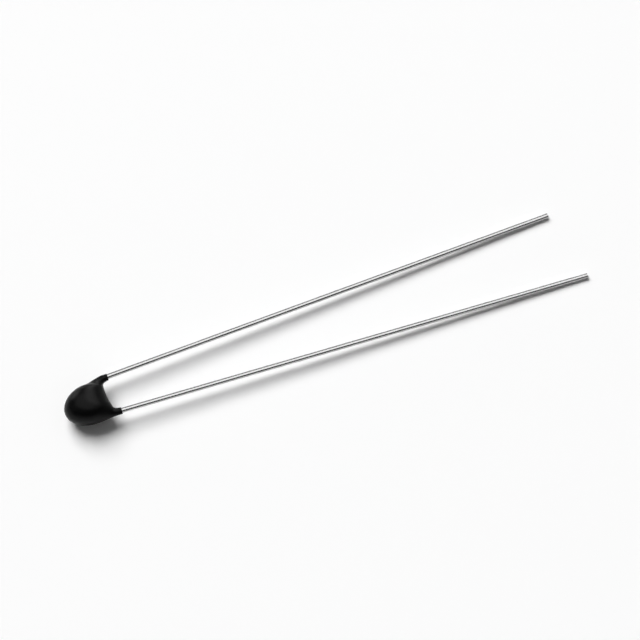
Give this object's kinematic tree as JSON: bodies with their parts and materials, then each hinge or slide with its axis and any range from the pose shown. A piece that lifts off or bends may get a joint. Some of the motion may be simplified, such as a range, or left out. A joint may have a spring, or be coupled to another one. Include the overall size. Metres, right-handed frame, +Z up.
{
  "type": "ntc thermistor",
  "caption": "Small epoxy-dipped bead thermistor with straight radial tinned wires, which senses temperature through the resistance of its ceramic chip.",
  "frame": {"origin": "on the surface that the part lies on, below the middle of its length and on the middle line between its wires", "axes": "+X along the part from the bead to the wires' tips, +Y from lead_b to lead_a, +Z up from the surface it lies on"},
  "size_m": [0.033, 0.0048, 0.0022],
  "materials": {
    "epoxy": "satin",
    "chip": "matte",
    "electrode": "satin",
    "solder": "satin",
    "tinned_wire": "satin"
  },
  "bodies": {
    "root": {"coating": "epoxy", "ceramic_chip": "chip", "electrode_a": "electrode", "electrode_b": "electrode", "solder_a": "solder", "solder_b": "solder", "lead_a": "tinned_wire", "lead_b": "tinned_wire"}
  },
  "joints": []
}
